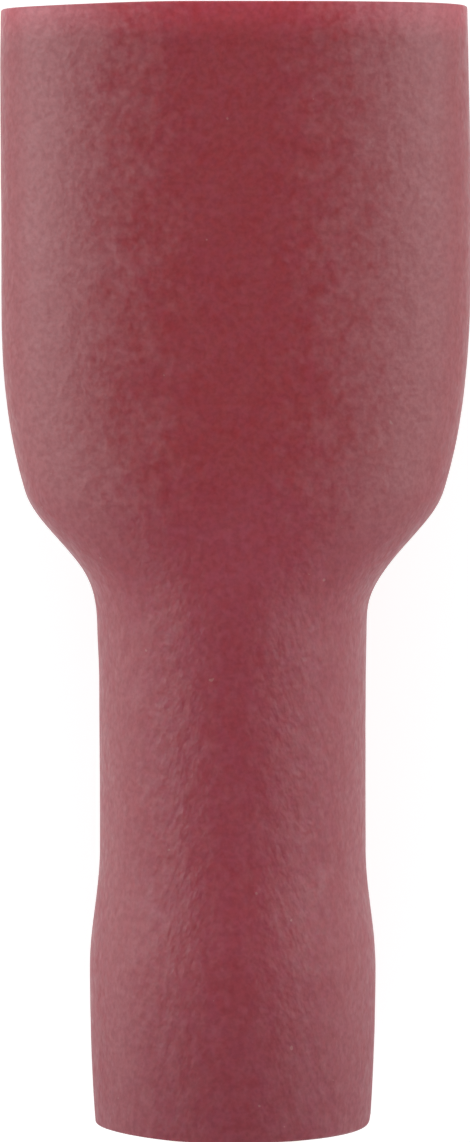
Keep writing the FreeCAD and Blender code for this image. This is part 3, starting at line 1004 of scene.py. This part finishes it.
def build_floor(s):
    """Paper that keeps the terminal's shadow, and that glows only where it is seen."""
    reach = s.floor_reach
    mesh = bpy.data.meshes.new("Floor")
    mesh.from_pydata([(-reach, -reach, 0), (reach, -reach, 0), (reach, reach, 0),
                      (-reach, reach, 0)], [], [(0, 1, 2, 3)])
    material = bpy.data.materials.new("Pale paper")
    sheet = empty_sheet(material)
    paper = sheet.add("ShaderNodeBsdfDiffuse", {"Color": (*s.paper, 1.0)})
    strength = sheet.product(background_share(sheet), s.paper_glow)
    glow = sheet.add("ShaderNodeEmission", {"Strength": strength})
    both = sheet.add("ShaderNodeAddShader", {0: paper.outputs[0], 1: glow.outputs[0]})
    sheet.add("ShaderNodeOutputMaterial", {"Surface": both.outputs[0]})
    mesh.materials.append(material)
    floor = placed("Floor", mesh)


def build_world(s):
    """White round the horizon, and darker overhead, where the camera stands."""
    world = bpy.data.worlds.new("Studio")
    bpy.context.scene.world = world
    sheet = empty_sheet(world)
    way = sheet.add("ShaderNodeTexCoord").outputs["Generated"]
    level = sheet.span(sheet.apart(way)["Z"], *SKY_HEIGHTS)
    tint = sheet.add("ShaderNodeCombineColor", {0: level, 1: level, 2: level}).outputs[0]
    strength = sheet.add("ShaderNodeMapRange", {"Value": background_share(sheet),
                                                "To Min": s.sky, "To Max": 1.0})
    back = sheet.add("ShaderNodeBackground", {"Color": tint, "Strength": strength.outputs[0]})
    sheet.add("ShaderNodeOutputWorld", {"Surface": back.outputs[0]})


def build_lamp(s, name, side, radiance):
    """Soft lamp on one side, a rectangle that shines evenly with this brightness."""
    lamp = bpy.data.lights.new(name, "AREA")
    lamp.shape = "RECTANGLE"
    lamp.size, lamp.size_y = s.lamp_width, s.lamp_length
    lamp.energy = radiance * math.pi * s.lamp_width * s.lamp_length
    holder = placed(name, lamp)
    away = Vector((side * s.lamp_distance * math.sin(s.lamp_turn), s.lamp_forward,
                   s.lamp_distance * math.cos(s.lamp_turn)))
    holder.location = Vector((0.0, 0.0, AXIS_Z)) + away
    holder.rotation_mode = "QUATERNION"
    holder.rotation_quaternion = (-away).to_track_quat("-Z", "Y")


def build_camera(s):
    camera = bpy.data.cameras.new("Camera")
    holder = placed("Camera", camera)
    holder.location = (0.0, s.camera_aim + s.camera_lean, AXIS_Z + s.camera_height)
    holder.rotation_euler = (-math.atan2(s.camera_lean, s.camera_height), 0.0, 0.0)
    distance = math.hypot(s.camera_lean, s.camera_height)
    camera.sensor_width = 36.0
    camera.lens = camera.sensor_width * distance / s.field
    camera.clip_start = 0.005
    camera.clip_end = 10.0
    bpy.context.scene.camera = holder
    bpy.context.scene.view_settings.view_transform = "Standard"


# Operators

class TERMINAL_OT_sleeve(Operator):
    """Build the moulded vinyl sleeve"""
    bl_idname = "terminal.build_sleeve"
    bl_label = "Vinyl sleeve"

    def execute(self, context):
        scene = context.scene
        skin = sleeve_skin(scene.terminal_sleeve, scene.terminal_receptacle,
                           scene.terminal_ferrule)
        add_piece("vinyl_sleeve", skin, vinyl_finish(scene.terminal_finish), "insulating_sleeve",
                  sharp=50)
        return {"FINISHED"}


class TERMINAL_OT_receptacle(Operator):
    """Build the rolled brass receptacle with its neck and wire barrel"""
    bl_idname = "terminal.build_receptacle"
    bl_label = "Spade receptacle"

    def execute(self, context):
        c = context.scene.terminal_finish
        material = metal_finish("Tinned brass", c, c.tin, c.tin_dull, c.brass, wear=0.35,
                                rough_low=0.22, rough_high=0.38)
        add_piece("rolled_receptacle", receptacle_skin(context.scene.terminal_receptacle),
                  material, "spade_receptacle", sharp=35)
        return {"FINISHED"}


class TERMINAL_OT_ferrule(Operator):
    """Build the stepped copper ferrule"""
    bl_idname = "terminal.build_ferrule"
    bl_label = "Copper ferrule"

    def execute(self, context):
        c = context.scene.terminal_finish
        skin = ferrule_skin(context.scene.terminal_ferrule, context.scene.terminal_receptacle)
        material = metal_finish("Drawn copper", c, c.copper, c.copper_dull, c.copper, wear=0.5,
                                rough_low=0.25, rough_high=0.42)
        add_piece("stepped_ferrule", skin, material, "insulation_ferrule")
        return {"FINISHED"}


class TERMINAL_OT_stage(Operator):
    """Set out the floor, the lamps and the camera"""
    bl_idname = "terminal.build_stage"
    bl_label = "Stage"

    def execute(self, context):
        s = context.scene.terminal_stage
        build_floor(s)
        build_world(s)
        build_lamp(s, "Left lamp", -1, s.lamp_left)
        build_lamp(s, "Right lamp", 1, s.lamp_right)
        build_camera(s)
        return {"FINISHED"}


class TERMINAL_PT_panel(Panel):
    """Build buttons of the terminal"""
    bl_idname = "TERMINAL_PT_panel"
    bl_label = "Spade terminal"
    bl_space_type = "VIEW_3D"
    bl_region_type = "UI"
    bl_category = "Terminal"

    def draw(self, context):
        for operator in OPERATORS:
            self.layout.operator(operator.bl_idname)


SETTINGS = {
    "terminal_sleeve": SleeveSettings,
    "terminal_receptacle": ReceptacleSettings,
    "terminal_ferrule": FerruleSettings,
    "terminal_finish": FinishSettings,
    "terminal_stage": StageSettings,
}
OPERATORS = (TERMINAL_OT_sleeve, TERMINAL_OT_receptacle, TERMINAL_OT_ferrule, TERMINAL_OT_stage)
CLASSES = (*SETTINGS.values(), *OPERATORS, TERMINAL_PT_panel)


def register():
    for item in CLASSES:
        bpy.utils.register_class(item)
    for name, group in SETTINGS.items():
        setattr(bpy.types.Scene, name, PointerProperty(type=group))


def unregister():
    for name in SETTINGS:
        delattr(bpy.types.Scene, name)
    for item in reversed(CLASSES):
        bpy.utils.unregister_class(item)


def main():
    register()
    bpy.ops.terminal.build_sleeve()
    bpy.ops.terminal.build_receptacle()
    bpy.ops.terminal.build_ferrule()
    bpy.ops.terminal.build_stage()


if __name__ == "__main__":
    main()
